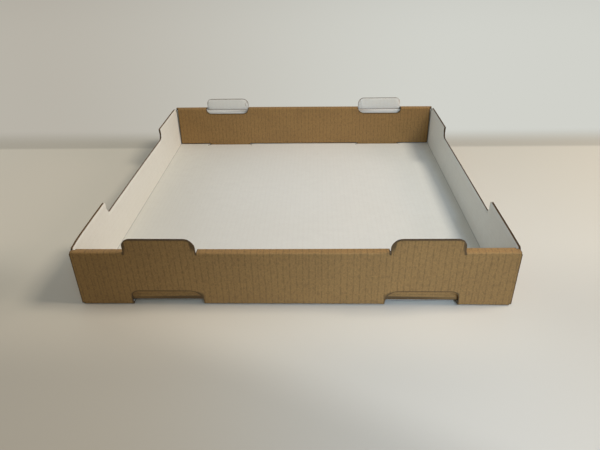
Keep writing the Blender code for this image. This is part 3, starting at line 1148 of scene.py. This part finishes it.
class StageSettings(bpy.types.PropertyGroup):
    """Floor tones with painted light and shade, lens and lamp powers of the stage"""

    floor_size: bpy.props.FloatProperty(
        name="Floor size",
        description="Side of the square floor",
        default=12.0,
        unit="LENGTH",
    )
    # Floor colours on the left and right, which carry painted light and shade
    floor_left_lit_colour: bpy.props.FloatVectorProperty(
        name="Floor colour, left",
        description="Colour of the pale floor on the left of the tray",
        default=(0.669, 0.632, 0.505),
        subtype="COLOR",
    )
    floor_right_lit_colour: bpy.props.FloatVectorProperty(
        name="Floor colour, right",
        description="Colour of the pale floor on the right of the tray",
        default=(0.598, 0.593, 0.506),
        subtype="COLOR",
    )
    focal_length: bpy.props.FloatProperty(
        name="Focal length",
        description="Camera lens in millimetres for a 36 mm sensor",
        default=31.16,
        unit="CAMERA",
    )
    # Colours of the glow beyond the tone line, whose change from left to right is painted light; the
    # right one is also the sky's pale backdrop
    far_left_glow_colour: bpy.props.FloatVectorProperty(
        name="Far colour, left",
        description="Colour of the distant floor on the left, as the camera sees it",
        default=(0.479, 0.451, 0.392),
        subtype="COLOR",
    )
    far_right_glow_colour: bpy.props.FloatVectorProperty(
        name="Far colour, right",
        description="Colour of the distant floor on the right and of the sky, as the camera sees them",
        default=(0.638, 0.644, 0.597),
        subtype="COLOR",
    )
    # Strength of the painted shade on the floor in front of the tray
    front_shade: bpy.props.FloatProperty(
        name="Front shade",
        description="Share by which the floor darkens in front of the tray",
        default=0.15,
        subtype="FACTOR",
    )
    # Strength of the painted shadow on the floor in front on the left
    left_shade: bpy.props.FloatProperty(
        name="Left shade",
        description="Share by which it darkens further in front on the left",
        default=0.2,
        subtype="FACTOR",
    )
    # Strength of the painted pool of light close in front of the tray
    near_light: bpy.props.FloatProperty(
        name="Near light",
        description="Share by which the floor is paler close in front of the tray",
        default=0.2,
        subtype="FACTOR",
    )
    tone_line: bpy.props.FloatProperty(
        name="Tone line",
        description="Place behind the middle of the tray at which the floor turns darker",
        default=0.207,
        unit="LENGTH",
    )
    # Strength of the painted shade along that line
    tone_shade_depth: bpy.props.FloatProperty(
        name="Tone depth",
        description="Strength of that change of tone",
        default=0.25,
        subtype="FACTOR",
    )
    key_power: bpy.props.FloatProperty(
        name="Key power",
        description="Power of the large lamp on the right",
        default=14.8,
        unit="POWER",
    )
    side_power: bpy.props.FloatProperty(
        name="Side power",
        description="Power of the lower lamp on the right",
        default=6.5,
        unit="POWER",
    )
    left_power: bpy.props.FloatProperty(
        name="Left power",
        description="Power of the low lamp on the left",
        default=3.25,
        unit="POWER",
    )
    low_power: bpy.props.FloatProperty(
        name="Low power",
        description="Power of the low soft spot in front",
        default=19.9,
        unit="POWER",
    )
    front_power: bpy.props.FloatProperty(
        name="Front power",
        description="Power of the higher soft spot in front",
        default=24.5,
        unit="POWER",
    )
    sky_level: bpy.props.FloatProperty(
        name="Sky level",
        description="Strength of the even light from all round",
        default=0.29,
    )


# Blanks already drawn, by their number of lines to each flute
BLANKS = {}


def blank_of(tray, per_flute):
    """The blank with a number of lines to each flute, drawn once for the papers that share it."""
    if per_flute not in BLANKS:
        BLANKS[per_flute] = draw_blank(tray, per_flute)
    return BLANKS[per_flute]


class TRAY_OT_outer_liner(bpy.types.Operator):
    """Fold the brown liner that makes the outside of the walls and the rolled strips"""

    bl_idname = "tray.outer_liner"
    bl_label = "Outer Liner"

    def execute(self, context):
        tray = context.scene.tray_sizes
        blank = blank_of(tray, LINER_LINES)
        sag = OUTER_SAG * (0.5 + 0.5 * blank.wave())
        faces = [share + sag for share in OUTER_LINER]
        piece = fold_layer(tray, blank, "tray_outer_liner", faces)
        piece.data.materials.append(kraft_liner(tray))
        return {"FINISHED"}


class TRAY_OT_inner_liner(bpy.types.Operator):
    """Fold the white liner that makes the inside of the base and the side walls"""

    bl_idname = "tray.inner_liner"
    bl_label = "Inner Liner"

    def execute(self, context):
        tray = context.scene.tray_sizes
        blank = blank_of(tray, LINER_LINES)
        sag = INNER_SAG * (0.5 - 0.5 * blank.wave())
        faces = [share + sag for share in INNER_LINER]
        piece = fold_layer(tray, blank, "tray_inner_liner", faces)
        piece.data.materials.append(white_liner(tray))
        return {"FINISHED"}


class TRAY_OT_fluting(bpy.types.Operator):
    """Fold the wavy paper that holds the two liners apart"""

    bl_idname = "tray.fluting"
    bl_label = "Fluting"

    def execute(self, context):
        tray = context.scene.tray_sizes
        blank = blank_of(tray, FLUTING_LINES)
        middle = FLUTE_MIDDLE + FLUTE_SWING * blank.wave()
        faces = (middle - FLUTE_PAPER / 2.0, middle + FLUTE_PAPER / 2.0)
        paper = fluting_paper(tray)
        for name, end in (("front", -1), ("base", 0), ("back", 1)):
            piece = fold_layer(tray, blank, "tray_fluting_" + name, faces, (end,))
            piece.data.materials.append(paper)
        return {"FINISHED"}


class TRAY_OT_stage(bpy.types.Operator):
    """Set the pale floor, the soft lamps and the camera"""

    bl_idname = "tray.stage"
    bl_label = "Stage"

    def execute(self, context):
        stage = context.scene.tray_stage
        half = stage.floor_size / 2.0
        mesh = bpy.data.meshes.new("floor")
        corners = [(-half, -half, 0.0), (half, -half, 0.0), (half, half, 0.0), (-half, half, 0.0)]
        mesh.from_pydata(corners, [], [(0, 1, 2, 3)])
        floor = bpy.data.objects.new("floor", mesh)
        floor.location.z = -FLOOR_DROP
        context.scene.collection.objects.link(floor)
        mesh.materials.append(floor_paint(stage))

        square_lamp("key_lamp", KEY_SIZE, stage.key_power, KEY_COLOUR, KEY_PLACE)
        square_lamp("side_lamp", SIDE_SIZE, stage.side_power, SIDE_COLOUR, SIDE_PLACE)
        square_lamp("left_lamp", LEFT_SIZE, stage.left_power, LEFT_COLOUR, LEFT_PLACE)
        spot_lamp("low_lamp", LOW_SPREAD, stage.low_power, LOW_COLOUR, LOW_PLACE, LOW_AIM)
        spot_lamp(
            "front_lamp", FRONT_SPREAD, stage.front_power, FRONT_COLOUR, FRONT_PLACE, FRONT_AIM
        )
        pale_sky(stage)

        camera = bpy.data.objects.new("camera", bpy.data.cameras.new("camera"))
        camera.data.lens = stage.focal_length
        camera.data.sensor_width = SENSOR_WIDTH
        camera.location = CAMERA_PLACE
        camera.rotation_euler = [math.radians(turn) for turn in CAMERA_TURN]
        context.scene.collection.objects.link(camera)
        context.scene.camera = camera
        context.scene.view_settings.view_transform = "Standard"
        return {"FINISHED"}


def aimed(lamp, power, colour, place, target):
    """Stand of a lamp, turned to a target."""
    lamp.energy = power
    lamp.color = colour
    stand = bpy.data.objects.new(lamp.name, lamp)
    stand.location = place
    stand.rotation_euler = (Vector(target) - Vector(place)).to_track_quat("-Z", "Y").to_euler()
    bpy.context.scene.collection.objects.link(stand)


def square_lamp(name, size, power, colour, place):
    """A square lamp of a given size, turned to the middle of the tray's underside."""
    lamp = bpy.data.lights.new(name, "AREA")
    lamp.shape = "SQUARE"
    lamp.size = size
    aimed(lamp, power, colour, place, (0.0, 0.0, 0.0))


def spot_lamp(name, spread, power, colour, place, target):
    """A spot of a given spread in degrees, soft all the way to its rim."""
    lamp = bpy.data.lights.new(name, "SPOT")
    lamp.spot_size = math.radians(spread)
    lamp.spot_blend = 1.0
    lamp.shadow_soft_size = SPOT_SOFTNESS
    aimed(lamp, power, colour, place, target)


def pale_sky(stage):
    """Even light from all round, seen by the camera and in gloss as a pale backdrop."""
    s = Shader(bpy.data.worlds.new("soft_sky"))
    even = s.tree.nodes["Background"]
    s.feed(even.inputs["Color"], WHITE)
    s.feed(even.inputs["Strength"], stage.sky_level)
    pale = s.node("ShaderNodeBackground", {}, {"Color": full(stage.far_right_glow_colour)})
    s.close("World Output", s.backdrop_rays(), Socket(s, even.outputs[0]), pale)
    bpy.context.scene.world = s.owner


OPERATORS = (TRAY_OT_outer_liner, TRAY_OT_inner_liner, TRAY_OT_fluting, TRAY_OT_stage)


class TRAY_PT_panel(bpy.types.Panel):
    """Sizes, stage and operators of the tray"""

    bl_label = "Corrugated Tray"
    bl_idname = "TRAY_PT_panel"
    bl_space_type = "VIEW_3D"
    bl_region_type = "UI"
    bl_category = "Tray"

    def draw(self, context):
        layout = self.layout
        for settings in (context.scene.tray_sizes, context.scene.tray_stage):
            box = layout.box()
            for name in settings.__annotations__:
                box.prop(settings, name)
        for operator in OPERATORS:
            layout.operator(operator.bl_idname)


CLASSES = (TraySizes, StageSettings, *OPERATORS, TRAY_PT_panel)


def register():
    """Add the classes, and their settings to the scene."""
    for item in CLASSES:
        bpy.utils.register_class(item)
    bpy.types.Scene.tray_sizes = bpy.props.PointerProperty(type=TraySizes)
    bpy.types.Scene.tray_stage = bpy.props.PointerProperty(type=StageSettings)


def unregister():
    """Take the settings and the classes away again."""
    del bpy.types.Scene.tray_stage
    del bpy.types.Scene.tray_sizes
    for item in reversed(CLASSES):
        bpy.utils.unregister_class(item)


def main():
    """Build the tray and its stage."""
    register()
    bpy.ops.tray.outer_liner()
    bpy.ops.tray.inner_liner()
    bpy.ops.tray.fluting()
    bpy.ops.tray.stage()


if __name__ == "__main__":
    main()
